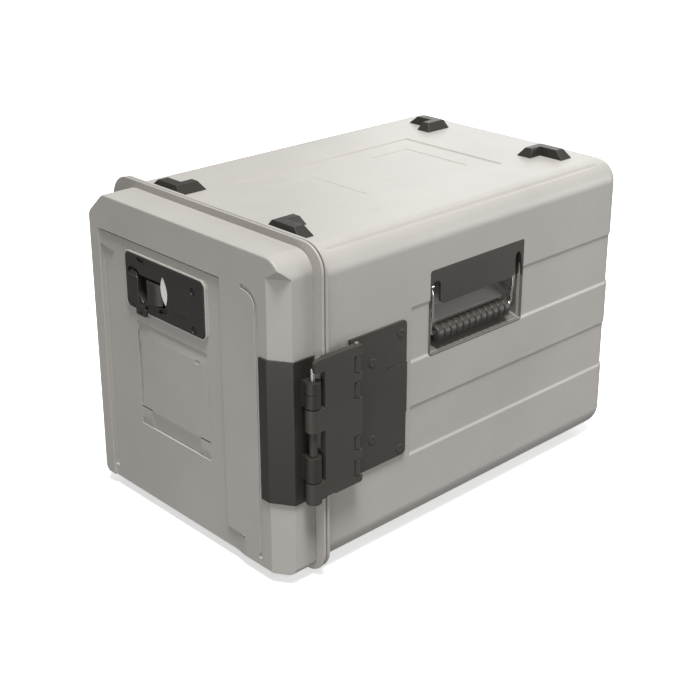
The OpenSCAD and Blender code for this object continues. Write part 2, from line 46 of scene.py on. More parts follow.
def link(name, data):
    """A new object in the scene."""
    ob = bpy.data.objects.new(name, data)
    bpy.context.scene.collection.objects.link(ob)
    return ob


def edit(ob, work):
    """Runs work(bm) on the object's mesh."""
    bm = bmesh.new()
    bm.from_mesh(ob.data)
    work(bm)
    bm.to_mesh(ob.data)
    bm.free()
    ob.data.update()
    return ob


def face_out(bm):
    """Turns the faces of every closed part of the mesh outwards."""
    bmesh.ops.recalc_face_normals(bm, faces=bm.faces)
    left = set(bm.faces)
    while left:
        seed = left.pop()
        part, queue = [seed], [seed]
        while queue:
            for e in queue.pop().edges:
                for g in e.link_faces:
                    if g in left:
                        left.remove(g)
                        part.append(g)
                        queue.append(g)
        volume = 0.0
        for f in part:
            vs = [v.co for v in f.verts]
            volume += sum(vs[0].dot(b.cross(c)) for b, c in zip(vs[1:], vs[2:]))
        if volume < 0:
            bmesh.ops.reverse_faces(bm, faces=part)


def outward(bm):
    """Joins points that coincide, then turns the faces outwards."""
    bmesh.ops.remove_doubles(bm, verts=bm.verts, dist=2e-6)
    face_out(bm)


def make(name, points, faces):
    """A closed solid from points in millimetres."""
    mesh = bpy.data.meshes.new(name)
    mesh.from_pydata([Vector(p) * MM for p in points], [], faces)
    return edit(link(name, mesh), outward)


def at(axis, u, v, w):
    """A point whose place along axis is w; u and v follow the order x, y, z."""
    return {"x": (w, u, v), "y": (u, w, v), "z": (u, v, w)}[axis]


def loft(name, rings):
    """Solid through rings that have the same number of points."""
    n = len(rings[0])
    points = [p for ring in rings for p in ring]
    last = (len(rings) - 1) * n
    faces = [tuple(range(n)), tuple(range(last, last + n))]
    for k in range(0, last, n):
        for i in range(n):
            j = (i + 1) % n
            faces.append((k + i, k + j, k + n + j, k + n + i))
    return make(name, points, faces)


def rounded(u0, u1, v0, v1, radii, n=8):
    """Outline of a rectangle with rounded corners: one radius, or four from (u0, v0) round by (u1, v0)."""
    radii = radii if isinstance(radii, (tuple, list)) else (radii,) * 4
    corners = ((u0, v0, 1, 1, 180), (u1, v0, -1, 1, 270), (u1, v1, -1, -1, 0), (u0, v1, 1, -1, 90))
    out = []
    for (cu, cv, su, sv, start), r in zip(corners, radii):
        r = max(r, 0.02)
        for k in range(n + 1):
            a = math.radians(start + 90 * k / n)
            out.append((cu + su * r + r * math.cos(a), cv + sv * r + r * math.sin(a)))
    return out


def fillet_steps(w0, w1, f0, f1, n):
    """(place, inset) of each ring of a slab whose two ends have rounded edges."""
    steps = []
    for w, f, way in ((w0, f0, 1), (w1, f1, -1)):
        ks = range(n + 1) if f > 0 else (n,)
        part = []
        for k in ks:
            a = math.radians(90 * k / n)
            part.append((w + way * f * (1 - math.cos(a)), f * (1 - math.sin(a))) if f > 0 else (w, 0.0))
        steps += part if way == 1 else part[::-1]
    return steps


def slab(name, axis, w0, w1, rect, radii, f0=0.0, f1=0.0, n=8, fn=3):
    """Slab along axis with a rounded outline and rounded edges at either end."""
    u0, u1, v0, v1 = rect
    radii = radii if isinstance(radii, (tuple, list)) else (radii,) * 4
    rings = []
    for w, s in fillet_steps(w0, w1, f0, f1, fn):
        outline = rounded(u0 + s, u1 - s, v0 + s, v1 - s, [max(r - s, 0.05) for r in radii], n)
        rings.append([at(axis, u, v, w) for u, v in outline])
    return loft(name, rings)


def prism(name, axis, outline, w0, w1):
    """An outline pushed along axis from w0 to w1."""
    return loft(name, [[at(axis, u, v, w) for u, v in outline] for w in (w0, w1)])


def block(x0, x1, y0, y1, z0, z1):
    return prism("block", "z", [(x0, y0), (x1, y0), (x1, y1), (x0, y1)], z0, z1)


def round_angles(n):
    return [2 * math.pi * k / n for k in range(n)]


def circles(axis, cu, cv, profile, n):
    """One ring of n points for each (place along axis, radius)."""
    return [[at(axis, cu + r * math.cos(t), cv + r * math.sin(t), w) for t in round_angles(n)] for w, r in profile]


def turned(name, axis, cu, cv, profile, n=32):
    """Solid of revolution: profile holds (place along axis, radius)."""
    return loft(name, circles(axis, cu, cv, [(w, max(r, 0.02)) for w, r in profile], n))


def rod(axis, cu, cv, w0, w1, r, f=0.0, n=32):
    """Round bar of radius r whose ends are rounded by f."""
    profile = [(w, r - s) for w, s in fillet_steps(w0, w1, f, f, 3)]
    return turned("rod", axis, cu, cv, profile, n)


def tube(name, path, r, n=14):
    """Round bar along a path that stays in one plane across X."""
    rings = []
    for i, p in enumerate(path):
        a, b = Vector(path[max(i - 1, 0)]), Vector(path[min(i + 1, len(path) - 1)])
        t = (b - a).normalized()
        side = Vector((1, 0, 0))
        up = t.cross(side)
        rings.append([tuple(Vector(p) + r * (math.cos(q) * side + math.sin(q) * up)) for q in round_angles(n)])
    return loft(name, rings)


def ribbon(middle, half):
    """Outline of a strip along a line of points, half wide to either side."""
    side_a, side_b = [], []
    for i, p in enumerate(middle):
        before, after = Vector(middle[max(i - 1, 0)]), Vector(middle[min(i + 1, len(middle) - 1)])
        t = (after - before).normalized()
        across = Vector((-t.y, t.x)) * half
        side_a.append(tuple(Vector(p) + across))
        side_b.append(tuple(Vector(p) - across))
    return side_a + side_b[::-1]


def applied(ob):
    """Turns the object's modifiers into its mesh."""
    bpy.context.view_layer.update()
    dg = bpy.context.evaluated_depsgraph_get()
    mesh = bpy.data.meshes.new_from_object(ob.evaluated_get(dg))
    old = ob.data
    ob.modifiers.clear()
    ob.data = mesh
    bpy.data.meshes.remove(old)
    return ob


def solid_op(ob, others, operation):
    for o in others:
        m = ob.modifiers.new("op", "BOOLEAN")
        m.operation, m.solver, m.object = operation, "EXACT", o
    applied(ob)
    for o in others:
        mesh = o.data
        bpy.data.objects.remove(o)
        bpy.data.meshes.remove(mesh)
    return ob


def cut(ob, *others):
    return solid_op(ob, others, "DIFFERENCE")


def add(ob, *others):
    return solid_op(ob, others, "UNION")


def flat_faces(bm):
    """Makes each flat region one face, so that a bevel meets whole edges."""
    bmesh.ops.remove_doubles(bm, verts=bm.verts, dist=4e-6)
    bmesh.ops.dissolve_limit(bm, angle_limit=math.radians(0.4), verts=bm.verts, edges=bm.edges)


def mend(bm):
    """Fills flat regions again where an n-gon no longer divides cleanly into triangles."""
    def drawn_area():
        total = {}
        for a, b, c in bm.calc_loop_triangles():
            t = (b.vert.co - a.vert.co).cross(c.vert.co - a.vert.co).length / 2
            total[a.face] = total.get(a.face, 0.0) + t
        return total

    total = drawn_area()
    bad = [f for f in bm.faces if len(f.verts) > 4 and total.get(f, 0.0) > f.calc_area() * 1.002 + 1e-9]
    while bad:
        seed = bad.pop()
        if not seed.is_valid:
            continue
        normal, region, queue = seed.normal.copy(), {seed}, [seed]
        while queue:
            f = queue.pop()
            for e in f.edges:
                for g in e.link_faces:
                    if g not in region and g.normal.dot(normal) > SAME_PLANE:
                        region.add(g)
                        queue.append(g)
        edges = {e for f in region for e in f.edges}
        border = [e for e in edges if sum(f in region for f in e.link_faces) == 1]
        inner = list(edges - set(border))
        bmesh.ops.delete(bm, geom=list(region), context="FACES_ONLY")
        bmesh.ops.delete(bm, geom=inner, context="EDGES")
        bmesh.ops.triangle_fill(bm, use_beauty=True, edges=[e for e in border if e.is_valid], normal=normal)
    face_out(bm)


def soften(ob, width, segments=2, angle=32):
    """Rounds every edge that is sharper than angle by width millimetres, and shades the result."""
    edit(ob, flat_faces)
    m = ob.modifiers.new("round", "BEVEL")
    m.width, m.segments = width * MM, segments
    m.limit_method, m.angle_limit = "ANGLE", math.radians(angle)
    m.use_clamp_overlap = False
    m.miter_outer = "MITER_ARC"
    edit(applied(ob), mend)
    return shade(ob)


def flat_regions(bm):
    """Groups faces that lie in one plane: the group of each face, then each group's normal and area."""
    group, normals, areas = {}, [], []
    for seed in bm.faces:
        if seed in group:
            continue
        normal, queue, area, total = seed.normal.copy(), [seed], 0.0, Vector()
        group[seed] = len(areas)
        while queue:
            f = queue.pop()
            area += f.calc_area()
            total += f.normal * f.calc_area()
            for e in f.edges:
                for g in e.link_faces:
                    if g not in group and g.normal.dot(normal) > SAME_PLANE:
                        group[g] = len(areas)
                        queue.append(g)
        normals.append(total.normalized())
        areas.append(area * 1e6)
    return group, normals, areas


def shade(ob, sharp=38):
    """Smooth shading in which wide flat faces keep their own normal."""
    def work(bm):
        face_out(bm)
        for f in bm.faces:
            f.smooth = True
        for e in bm.edges:
            e.smooth = not (len(e.link_faces) == 2 and e.calc_face_angle(0) > math.radians(sharp))

    edit(ob, work)
    bm = bmesh.new()
    bm.from_mesh(ob.data)
    bm.normal_update()
    group, normals, areas = flat_regions(bm)
    custom = [Vector((0, 0, 1))] * len(ob.data.loops)
    for v in bm.verts:
        left = {l.face: l for l in v.link_loops}
        while left:
            face, loop = left.popitem()
            fan, queue = [(face, loop)], [face]
            while queue:
                f = queue.pop()
                for e in f.edges:
                    if e.smooth and v in e.verts:
                        for g in e.link_faces:
                            if g in left:
                                fan.append((g, left.pop(g)))
                                queue.append(g)
            total = Vector()
            for k in {group[f] for f, _ in fan}:
                total += normals[k] * areas[k] ** AREA_WEIGHT
            for _, l in fan:
                custom[l.index] = total.normalized()
    bm.free()
    ob.data.normals_split_custom_set(custom)
    return ob


def join(name, *obs):
    """Several closed solids as one object."""
    bm = bmesh.new()
    for o in obs:
        bm.from_mesh(o.data)
    mesh = bpy.data.meshes.new(name)
    bm.to_mesh(mesh)
    bm.free()
    for o in obs:
        old = o.data
        bpy.data.objects.remove(o)
        bpy.data.meshes.remove(old)
    return link(name, mesh)


def mirrored(name, ob):
    """A copy on the other side of the plane x = 0."""
    twin = link(name, ob.data.copy())

    def work(bm):
        bmesh.ops.transform(bm, matrix=Matrix.Scale(-1, 4, (1, 0, 0)), verts=bm.verts)
        bmesh.ops.reverse_faces(bm, faces=bm.faces)

    return shade(edit(twin, work))


def from_cad(name, node):
    """A copy of a CAD node's mesh to finish."""
    mesh = bpy.data.meshes.new(name)
    bm = bmesh.new()
    bm.from_mesh(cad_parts[node].data)
    bmesh.ops.remove_doubles(bm, verts=bm.verts, dist=5e-6)
    bm.to_mesh(mesh)
    bm.free()
    return edit(link(name, mesh), outward)


# ---------------------------------------------------------------- materials


class Nodes:
    """Short way to write a node tree."""

    def __init__(self, name):
        self.mat = bpy.data.materials.new(name)
        self.mat.use_nodes = True
        self.tree = self.mat.node_tree
        self.tree.nodes.clear()
        self.out = self.node("ShaderNodeOutputMaterial")
        self.bsdf = self.node("ShaderNodeBsdfPrincipled")
        self.wire(self.bsdf, "BSDF", self.out, "Surface")
        self.place = self.node("ShaderNodeTexCoord")

    def node(self, kind, **values):
        n = self.tree.nodes.new(kind)
        for k, v in values.items():
            if k in n.inputs:
                n.inputs[k].default_value = v
            else:
                setattr(n, k, v)
        return n

    def wire(self, a, out, b, into):
        self.tree.links.new(a.outputs[out], b.inputs[into])

    def noise(self, scale, detail=3.0, roughness=0.55, stretch=None):
        n = self.node("ShaderNodeTexNoise", Scale=scale, Detail=detail, Roughness=roughness)
        if stretch:
            m = self.node("ShaderNodeMapping", Scale=stretch)
            self.wire(self.place, "Object", m, "Vector")
            self.wire(m, "Vector", n, "Vector")
        else:
            self.wire(self.place, "Object", n, "Vector")
        return n

    def ramp(self, source, out, stops):
        r = self.node("ShaderNodeValToRGB")
        els = r.color_ramp.elements
        while len(els) < len(stops):
            els.new(0.5)
        for e, (pos, col) in zip(els, stops):
            e.position = pos
            e.color = col if isinstance(col, tuple) else (col, col, col, 1)
        self.wire(source, out, r, "Fac")
        return r

    def mix(self, fac, fac_out, a, b):
        """a and b are colours or (node, output)."""
        m = self.node("ShaderNodeMix", data_type="RGBA")
        if fac is None:
            m.inputs["Factor"].default_value = fac_out
        else:
            self.wire(fac, fac_out, m, "Factor")
        for slot, value in ((6, a), (7, b)):
            if isinstance(value, tuple) and len(value) == 4:
                m.inputs[slot].default_value = value
            else:
                self.tree.links.new(value[0].outputs[value[1]], m.inputs[slot])
        return m, 2

    def colour(self, pair):
        self.tree.links.new(pair[0].outputs[pair[1]], self.bsdf.inputs["Base Color"])

    def bump(self, sources):
        """sources: (node, output, distance in millimetres), chained."""
        previous = None
        for n, out, distance in sources:
            b = self.node("ShaderNodeBump", Strength=1.0, Distance=distance * MM)
            self.wire(n, out, b, "Height")
            if previous:
                self.wire(previous, "Normal", b, "Normal")
            previous = b
        self.wire(previous, "Normal", self.bsdf, "Normal")


def shade_of(c, k):
    """Colour c made k times as bright."""
    return (c[0] * k, c[1] * k, c[2] * k, 1)


def moulded(name, base, rough, grain, grain_mm, wear=0.0, wear_tint=(0.5, 0.49, 0.47), cloud=0.05):
    """Moulded plastic: fine grain, slow clouds of colour, soft scuffs and rubbed edges."""
    t = Nodes(name)
    clouds = t.noise(5.0, 4.0, 0.6)
    tint = t.ramp(clouds, "Fac", [(0.3, shade_of(base, 1 - cloud)), (0.7, shade_of(base, 1 + cloud))])
    speck = t.noise(900.0, 2.0, 0.5)
    fleck = t.ramp(speck, "Fac", [(0.35, shade_of((1, 1, 1), 0.93)), (0.65, shade_of((1, 1, 1), 1.0))])
    m = t.node("ShaderNodeMix", data_type="RGBA", blend_type="MULTIPLY")
    m.inputs["Factor"].default_value = 1.0
    t.tree.links.new(tint.outputs["Color"], m.inputs[6])
    t.tree.links.new(fleck.outputs["Color"], m.inputs[7])
    pair = (m, 2)
    scuff = t.noise(26.0, 8.0, 0.72, stretch=(1.0, 1.0, 0.22))
    marks = t.ramp(scuff, "Fac", [(0.60, 0.0), (0.74, 1.0)])
    if wear > 0:
        geo = t.node("ShaderNodeNewGeometry")
        edge = t.ramp(geo, "Pointiness", [(0.515, 0.0), (0.60, wear)])
        pair = t.mix(edge, "Color", pair, shade_of(wear_tint, 1.0))
    t.colour(pair)
    rr = t.ramp(marks, "Color", [(0.0, rough), (1.0, min(rough + 0.16, 1.0))])
    t.wire(rr, "Color", t.bsdf, "Roughness")
    fine = t.noise(grain, 2.0, 0.5)
    wide = t.noise(40.0, 2.0, 0.5)
    t.bump([(fine, "Fac", grain_mm), (wide, "Fac", 0.08)])
    return t.mat


def metal(name, base, rough):
    """Drawn steel: fine lines along the part, faint stains."""
    t = Nodes(name)
    stain = t.noise(60.0, 5.0, 0.6)
    tint = t.ramp(stain, "Fac", [(0.35, shade_of(base, 0.86)), (0.7, shade_of(base, 1.05))])
    t.colour((tint, "Color"))
    lines = t.noise(1800.0, 3.0, 0.6, stretch=(1.0, 1.0, 0.05))
    rr = t.ramp(lines, "Fac", [(0.3, rough), (0.7, rough + 0.14)])
    t.wire(rr, "Color", t.bsdf, "Roughness")
    t.bump([(lines, "Fac", 0.01)])
    t.bsdf.inputs["Metallic"].default_value = 1.0
    return t.mat


def cellular(name, base, scale, bump_mm, rough):
    """Foam or rubber: small cells."""
    t = Nodes(name)
    cells = t.node("ShaderNodeTexVoronoi", Scale=scale)
    t.wire(t.place, "Object", cells, "Vector")
    tint = t.ramp(cells, "Distance", [(0.1, shade_of(base, 0.8)), (0.6, shade_of(base, 1.08))])
    t.colour((tint, "Color"))
    t.bump([(cells, "Distance", bump_mm)])
    t.bsdf.inputs["Roughness"].default_value = rough
    return t.mat


GREY = (0.455, 0.435, 0.405)
MATS = {
    "shell_grey": moulded("shell_plastic", GREY, 0.42, 1500.0, 0.035),
    "liner_grey": moulded("liner_plastic", (0.40, 0.385, 0.36), 0.5, 1100.0, 0.03),
    "trim_black": moulded("black_plastic", (0.030, 0.026, 0.022), 0.42, 1700.0, 0.04, wear=0.1,
                          wear_tint=(0.12, 0.11, 0.10), cloud=0.12),
    "steel": metal("drawn_steel", (0.72, 0.71, 0.69), 0.2),
    "foam": cellular("rigid_foam", (0.80, 0.74, 0.55), 420.0, 0.3, 0.9),
    "seal_rubber": cellular("seal_rubber", (0.02, 0.02, 0.021), 2600.0, 0.03, 0.62),
}
# paler black with rubbed edges; on the handle recess plates its paler tone is painted light
SOFT_BLACK = moulded("paler_black_plastic", (0.050, 0.044, 0.038), 0.46, 1700.0, 0.04, wear=0.12,
                     wear_tint=(0.16, 0.15, 0.14), cloud=0.12)
# mid tone for the handle hollows: painted shade on their grey plastic
HOLLOW_SHADE = moulded("hollow_painted_shade", (0.150, 0.138, 0.125), 0.45, 1500.0, 0.035, cloud=0.1)
# paler tone for the slopes in the handle hollows: a painted highlight that makes the light strip under the tongue
SLOPE_HIGHLIGHT = moulded("slope_painted_highlight", (0.30, 0.28, 0.255), 0.45, 1500.0, 0.035, cloud=0.1)
DARK_STEEL = metal("blackened_steel", (0.10, 0.095, 0.09), 0.4)
# near-white for the latch's dish: a painted highlight that stands in for the lit crescent beside the grip
CRESCENT_HIGHLIGHT = moulded("crescent_painted_highlight", (0.86, 0.85, 0.83), 0.3, 900.0, 0.02)


def piece(ob, body, slot, nodes=(), mat=None):
    """Gives a finished object its material (chosen by slot unless mat is given), hangs it on its body and hides the
    CAD nodes it stands for.
    """
    ob.data.materials.clear()
    ob.data.materials.append(mat or MATS[slot])
    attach(ob, body)
    if nodes:
        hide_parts(*nodes)
    return ob


# ---------------------------------------------------------------- body shell

HW, Z0, Z1, Y_REAR = 215.0, 13.0, 462.0, 342.0          # half width, underside, top, back wall
EDGE_R, BACK_R = 35.0, 24.0                             # radii of the long edges and of the back's edges
BANDS = ((124.0, 195.5), (265.0, 343.0))                # heights between which the side steps in
BAND_D, BAND_EDGE = 1.8, 6.6
BAND_START_R, BAND_START_L = -114, -266                 # where the bands begin on the hinge side and the left
LEDGE_ROWS = (-3.3, -1.1, 1.1, 3.3)                     # rows of points across each ledge
TOP_FIELDS = ((-94, 106, -174, 190, 1.7), (-44, 73, -140, -60, 1.0), (-55, 73, 70, 150, 1.0))  # x0 x1 y0 y1 depth
FIELD_EDGE = 1.5
CHANNEL_A, CHANNEL_HALF, CHANNEL_D = 58.0, 7.5, 1.5     # channel along the top corner, in degrees and mm
CHANNEL_Y0, CHANNEL_Y1, CHANNEL_END = -258, 304, 10


def ease(t):
    t = min(max(t, 0.0), 1.0)
    return t * t * (3 - 2 * t)


def window(t, a, b, w):
    """1 between a and b, falling to 0 over a width w centred on each."""
    return ease((t - a) / w + 0.5) * ease((b - t) / w + 0.5)


def side_depth(x, y, z):
    start = BAND_START_R if x > 0 else BAND_START_L
    return BAND_D * sum(window(z, a, b, BAND_EDGE) for a, b in BANDS) * ease((y - start) / 3 + 0.5)


def top_depth(x, y):
    return sum(d * window(x, x0, x1, FIELD_EDGE) * window(y, y0, y1, FIELD_EDGE) for x0, x1, y0, y1, d in TOP_FIELDS)


def channel_depth(angle, y):
    t = abs(angle - CHANNEL_A) / CHANNEL_HALF
    if t >= 1:
        return 0.0
    return CHANNEL_D * (1 - ease(t)) * ease((y - CHANNEL_Y0) / CHANNEL_END) * ease((CHANNEL_Y1 - y) / CHANNEL_END)


def half_outline():
    """Points of the body's outline at x >= 0, bottom to top: x, z, normal, angle on the top corner or None."""
    def bend(cz, degrees, angle):
        a = math.radians(degrees)
        return HW - EDGE_R + EDGE_R * math.cos(a), cz + EDGE_R * math.sin(a), math.cos(a), math.sin(a), angle

    out = [(x, Z0, 0, -1, None) for x in (0, 60, 120)]
    out += [bend(Z0 + EDGE_R, -90 + 9 * k, None) for k in range(11)]
    zs = {90.0, 230.0, 385.0}
    for band in BANDS:
        for z in band:
            zs |= {z + row for row in LEDGE_ROWS}
    zs = sorted(zs)
    kept = [zs[0]]
    for z in zs[1:]:
        if z - kept[-1] > 0.35:
            kept.append(z)
    out += [(HW, z, 1, 0, None) for z in kept]
    angles = sorted(set(range(0, 91, 5)) | {50.5, 52.5, 54.5, 56.5, 58, 59.5, 61.5, 63.5, 65.5})
    out += [bend(Z1 - EDGE_R, g, g) for g in angles]
    xs = set()
    for f in TOP_FIELDS:
        for x in f[:2]:
            xs |= {abs(x) - 0.75, abs(x), abs(x) + 0.75}
    out += [(x, Z1, 0, 1, None) for x in sorted(xs | {140, 20, 0}, reverse=True)]
    return out


def body_point(p, y, s, phi):
    """Outline point p at y, moved in by s where the back rounds over by the angle phi, and sunk by the reliefs."""
    x, z, nx, nz, angle = p
    n = Vector((nx * math.cos(phi), math.sin(phi), nz * math.cos(phi)))
    base = Vector((x - s * nx, y, z - s * nz))
    d = side_depth(x, y, z) if nz == 0 else 0.0
    if angle is not None:
        d += channel_depth(angle, y)
    elif nz == 1:
        d += top_depth(x, y)
    return base - d * n


def body_loft():
    """The body's outer form with its bands, fields and channels, closed at both ends."""
    half = half_outline()
    ring = half + [(-x, z, -nx, nz, g) for x, z, nx, nz, g in half[-2:0:-1]]
    ys = {-275.0, -262.0, 300.0, 304.0, 294.0, Y_REAR - BACK_R}
    ys |= {-258.0 + 2 * k for k in range(6)} | {294.0 + 2 * k for k in range(6)}
    for y in (BAND_START_L, BAND_START_R):
        ys |= {y - 1.5, y - 0.5, y + 0.5, y + 1.5}
    for f in TOP_FIELDS:
        for y in f[2:4]:
            ys |= {y - 0.75, y, y + 0.75}
    ys |= set(range(-220, 300, 45))
    rows = [(y, 0.0, 0.0) for y in sorted(ys)]
    for k in range(1, 9):
        phi = math.radians(90 * k / 8)
        rows.append((Y_REAR - BACK_R + BACK_R * math.sin(phi), BACK_R * (1 - math.cos(phi)), phi))
    points = [body_point(p, y, s, phi) for y, s, phi in rows for p in ring]
    n = len(ring)
    faces = [tuple(range(n))]
    for r in range(len(rows) - 1):
        for i in range(n):
            j = (i + 1) % n
            faces.append((r * n + i, r * n + j, (r + 1) * n + j, (r + 1) * n + i))
    last = (len(rows) - 1) * n
    levels = [i for i, p in enumerate(half) if p[3] == 0]
    left = {i: n - i for i in levels}
    for a, b in zip(levels, levels[1:]):
        faces.append((last + a, last + b, last + left[b], last + left[a]))
    first, top = levels[0], levels[-1]
    faces.append(tuple(last + i for i in range(0, first + 1)) + tuple(last + i for i in range(left[first], n)))
    faces.append(tuple(last + i for i in range(top, left[top] + 1)))
    return make("body_shell", points, faces)


def cup_seat(sign):
    """What is cut out of the wall for a handle recess, with a gap all round."""
    g = 0.3

    def span(a, b):
        return (a, b) if sign > 0 else (-b, -a)

    x0, x1 = span(177 - g, 217)
    b0, b1 = span(212 - g, 217)
    return (block(x0, x1, -77.4 - g, 113 + g, 266 - g, 383 + g),
            slab("seat", "x", b0, b1, (-78 - g, 117 + g, 262 - g, 387 + g), 4.3))


def build_body():
    shell = body_loft()
    rim = slab("rim", "y", -277.4, -272, (-224, 224, 5.5, 473.5), 36, 1.6, 2.2, n=12, fn=4)
    feet = []
    for x in (-166, 130):
        for y in (-244, 206):
            feet.append(slab("foot", "z", 0, Z0 + 1, (x, x + 36, y, y + 40), 6, 1.5, 0))
    feet.append(slab("skid", "z", 0, Z0 + 1, (-20, 20, -200, 300), 8, 1.5, 0))
    add(shell, rim, *feet)
    hollow = slab("hollow", "y", -272, 335.5, (-208.5, 208.5, 19.5, 455.5), 28.5, 0, 18, n=8, fn=4)
    mouth = slab("mouth", "y", -279, 0, (-171.2, 171.2, 58.8, 415.2), 1)
    keeper = block(-184.3, -170.9, -275.3, -270, 339.7, 368.3)
    cut(shell, hollow, mouth, keeper, *cup_seat(1), *cup_seat(-1))
    screws = [rod("x", y, z, 206, 220, 2.7) for y, z in SCREWS]
    cut(shell, *screws)
    edit(shell, lambda bm: bmesh.ops.remove_doubles(bm, verts=bm.verts, dist=4e-6))
    return piece(shade(shell, 50), "cabinet", "shell_grey", ["outer_shell"])


SCREWS = ((-191, 176), (-191, 289), (-138, 144), (-138, 316))
build_body()

# ---------------------------------------------------------------- door shell

FRONT = -338.5             # y of the door's face
AHEAD = FRONT - 5          # where cuts into the face begin
DOOR_X, DOOR_Z0, DOOR_Z1 = 209.0, 16.0, 464.0
PANEL_D = 3.5
BEVEL_X, BEVEL_Y = 28.0, 18.0


def door_outline(s):
    """Outline of the door's body shrunk by s: round corners, and a soft chamfer at the top left."""
    x0, x1, z0, z1 = -DOOR_X + s, DOOR_X - s, DOOR_Z0 + s, DOOR_Z1 - s
    out = []
    for cx, cz, start, r in ((x0, z0, 180, 10), (x1, z0, 270, 10), (x1, z1, 0, 30)):
        q = r - s * 0.6
        sx, sz = (1 if cx < 0 else -1), (1 if cz < 100 else -1)
        for k in range(9):
            a = math.radians(start + 90 * k / 8)
            out.append((cx + sx * q + q * math.cos(a), cz + sz * q + q * math.sin(a)))
    # the chamfer's two bends, each a short curve
    w, h, reach = 37 - s * 0.6, 33 - s * 0.6, 7.5
    p, q = Vector((x0 + w, z1)), Vector((x0, z1 - h))
    for corner, before, after in ((p, Vector((1, 0)), (q - p).normalized()),
                                  (q, (p - q).normalized(), Vector((0, -1)))):
        start, end = corner + before * reach, corner + after * reach
        for k in range(7):
            u = k / 6
            out.append(tuple((1 - u) ** 2 * start + 2 * u * (1 - u) * corner + u * u * end))
    return out


def field_cutter(xs, zs, depth):
    """Cutter over a grid in x and z whose back face lies depth(x, z) behind the door's face."""
    y_front = FRONT - 6
    nx, nz = len(xs), len(zs)
    points = [(x, FRONT + depth(x, z), z) for z in zs for x in xs] + [(x, y_front, z) for z in zs for x in xs]
    faces, off = [], nx * nz
    for j in range(nz - 1):
        for i in range(nx - 1):
            a = j * nx + i
            faces.append((a, a + 1, a + nx + 1, a + nx))
            faces.append((off + a, off + a + nx, off + a + nx + 1, off + a + 1))
    rim = list(range(nx)) + [j * nx + nx - 1 for j in range(1, nz)]
    rim += [(nz - 1) * nx + i for i in range(nx - 2, -1, -1)] + [j * nx for j in range(nz - 2, 0, -1)]
    for a, b in zip(rim, rim[1:] + rim[:1]):
        faces.append((a, b, off + b, off + a))
    return make("field", points, faces)


def hull(points):
    """The tightest convex solid round some points."""
    bm = bmesh.new()
    for p in points:
        bm.verts.new(Vector(p) * MM)
    made = bmesh.ops.convex_hull(bm, input=bm.verts)
    inside = [v for v in made["geom_interior"] if isinstance(v, bmesh.types.BMVert)]
    bmesh.ops.delete(bm, geom=inside, context="VERTS")
    mesh = bpy.data.meshes.new("hull")
    bm.to_mesh(mesh)
    bm.free()
    return edit(link("hull", mesh), outward)


def bevel_cutter():
    """What is cut off the door's upright edge on the hinge side."""
    x, y = DOOR_X + 0.02, FRONT - 0.02
    points = []
    for z in (DOOR_Z0 - 2, 436):
        points += [(x - BEVEL_X, y, z), (x, y + BEVEL_Y, z), (x + 6, y + BEVEL_Y, z), (x + 6, y - 6, z),
                   (x - BEVEL_X, y - 6, z)]
    for z in (DOOR_Z0 - 2, 454):
        points += [(x, y, z), (x + 6, y + 1, z), (x + 6, y - 6, z), (x, y - 6, z)]
    return hull(points)


def build_door():
    rings = []
    for w, s in fillet_steps(FRONT, -286.2, 2.3, 0.0, 4) + [(-285.8, 1.4), (-283, 1.4)]:
        rings.append([(x, w, z) for x, z in door_outline(s)])
    door = loft("door_panel", rings)
    rim = slab("rim", "y", -284, -280.6, (-225, 225, 5, 474), 36, 1.3, 1.1, n=12, fn=4)
    add(door, rim)
    cut(door, bevel_cutter())
    # hollow behind the skin, which leaves room for the bevel and the chamfer
    hollow = block(-204, 204, FRONT + 8, -279, 34, 446)
    keep = prism("keep", "z", [(172, FRONT - 1), (210, -312), (210, FRONT - 1)], 0, 500)
    cut(hollow, keep, block(-205, -188, FRONT, -290, 424, 460))
    cut(door, hollow)
    # sunk panel, open at the foot, with a shallow run-out at the foot's right end and a line cut along its edge
    panel = prism("panel", "y", [(-186, 13), (88, 13), (88, 411.5), (-186, 411.5)], FRONT - 6, FRONT + PANEL_D)
    run = field_cutter([87.9, 96, 102, 108, 114, 120, 126, 131], [14, 48.0],
                       lambda x, z: (PANEL_D + 0.1) * (1 - ease((x - 100) / 31)) - 0.1)
    cut(door, panel)
    cut(door, run)
    relief = [(-184, 411.4), (87.9, 411.4), (87.9, 48), (124, 48), (124, 45), (85.2, 45), (85.2, 408.6),
              (-184, 408.6)]
    cut(door, prism("relief", "y", relief, AHEAD, FRONT + PANEL_D + 3.0))
    # notched groove on the latch side
    notch = prism("notch", "y", [(-186, 34), (-178, 34), (-176, 347), (-154, 383), (-186, 387)],
                  AHEAD, FRONT + 7.0)
    # curved groove beside the hinge
    middle = [(131, 412.4), (137, 412.4)]
    for a in range(10, 91, 10):
        middle.append((138 + 22.2 * math.sin(math.radians(a)), 389 + 22.2 * math.cos(math.radians(a))))
    middle += [(160.3, 200), (160.6, 40), (159.5, 33), (156, 29)]
    groove = prism("groove", "y", ribbon(middle, 2.7), AHEAD, FRONT + 2.6)
    cut(door, notch, groove)
    # bead round the latch plate, its seat and the label holder's field
    add(door, slab("bead", "y", FRONT - 0.2, FRONT + 5, (-125.2, 58.2, 310.8, 397.2), 11.5, 0.8, 0))
    seat = slab("seat", "y", AHEAD, FRONT + 5.5, (-122.5, 55.5, 313.5, 394.5), 9)
    through = block(-116, 49, FRONT + 4, FRONT + 9, 316.6, 391.4)
    tab = block(-101, -75, AHEAD, FRONT + 4, 305, 316)
    label = slab("label", "y", AHEAD, FRONT + 7.2, (-107.4, 51.4, 132, 292), 1.0)
    cut(door, seat, through, tab, label)
    soften(door, 0.75, 3, 30)
    return piece(door, "door", "shell_grey", ["door_shell"])


build_door()

# ---------------------------------------------------------------- label holder


